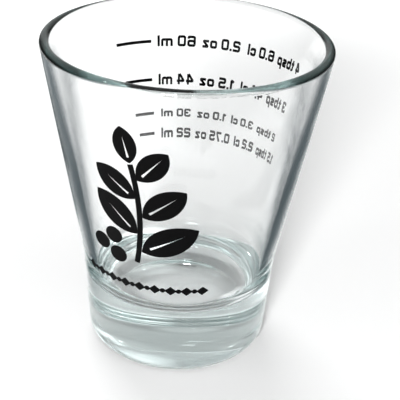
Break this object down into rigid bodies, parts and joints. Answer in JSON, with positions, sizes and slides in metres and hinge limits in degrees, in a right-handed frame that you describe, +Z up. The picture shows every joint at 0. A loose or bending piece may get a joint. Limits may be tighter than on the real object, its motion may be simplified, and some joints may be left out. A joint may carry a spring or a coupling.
{
  "type": "drinking glass",
  "caption": "Small tapered clear glass with a rounded rim and a heavy solid foot, printed in black with a pour scale of lines at the back and a leaf sprig and a lozenge border at the front.",
  "frame": {"origin": "centre of the resting face, on the surface that the glass stands on", "axes": "+Z up along the glass's own axis, towards the rim; -Y towards the printed sprig, the front; +Y towards the pour scale, the back"},
  "size_m": [0.057, 0.057, 0.067],
  "materials": {
    "clear_glass": "fire-polished clear soda-lime glass",
    "black_enamel": "screen-printed black enamel, fired, satin gloss"
  },
  "bodies": {
    "root": {"glass_body": "clear_glass", "scale_line_22_ml": "black_enamel", "scale_line_30_ml": "black_enamel", "scale_line_44_ml": "black_enamel", "scale_line_60_ml": "black_enamel", "sprig_stem": "black_enamel", "sprig_leaves": "black_enamel", "sprig_berries": "black_enamel", "border_lozenges": "black_enamel", "border_dots": "black_enamel"}
  },
  "joints": []
}
